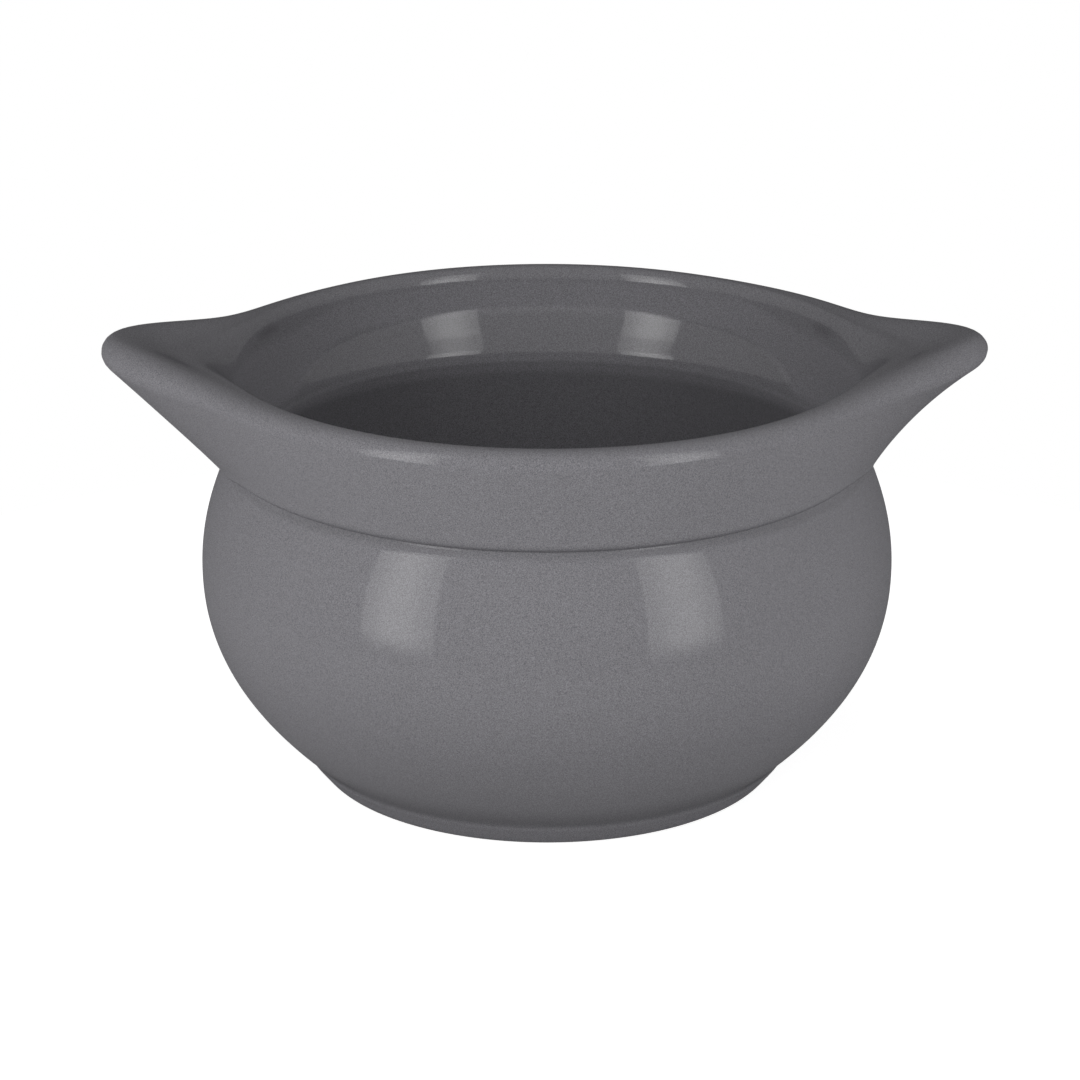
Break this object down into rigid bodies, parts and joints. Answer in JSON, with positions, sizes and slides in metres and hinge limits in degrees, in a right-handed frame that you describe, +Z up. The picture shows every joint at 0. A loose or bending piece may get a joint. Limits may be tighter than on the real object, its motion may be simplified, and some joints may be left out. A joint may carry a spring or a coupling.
{
  "type": "onion soup crock",
  "caption": "Glazed stoneware onion soup crock: a bulbous bowl on a low foot ring, an upright collar round the mouth and pointed side lugs to lift it by.",
  "frame": {"origin": "centre of the foot ring, on the plane that the crock stands on", "axes": "+Z up along the crock's axis, +X towards the right-hand lug, -Y towards the viewer"},
  "size_m": [0.1456, 0.115, 0.0742],
  "materials": {
    "grey_glaze": "smooth mid-grey glaze with a fine grain over stoneware, glossy all over, left bare on the ring it stands on"
  },
  "bodies": {
    "root": {"bowl_body": "grey_glaze", "foot_ring": "grey_glaze", "rim_collar": "grey_glaze", "left_lug": "grey_glaze", "right_lug": "grey_glaze"}
  },
  "joints": []
}
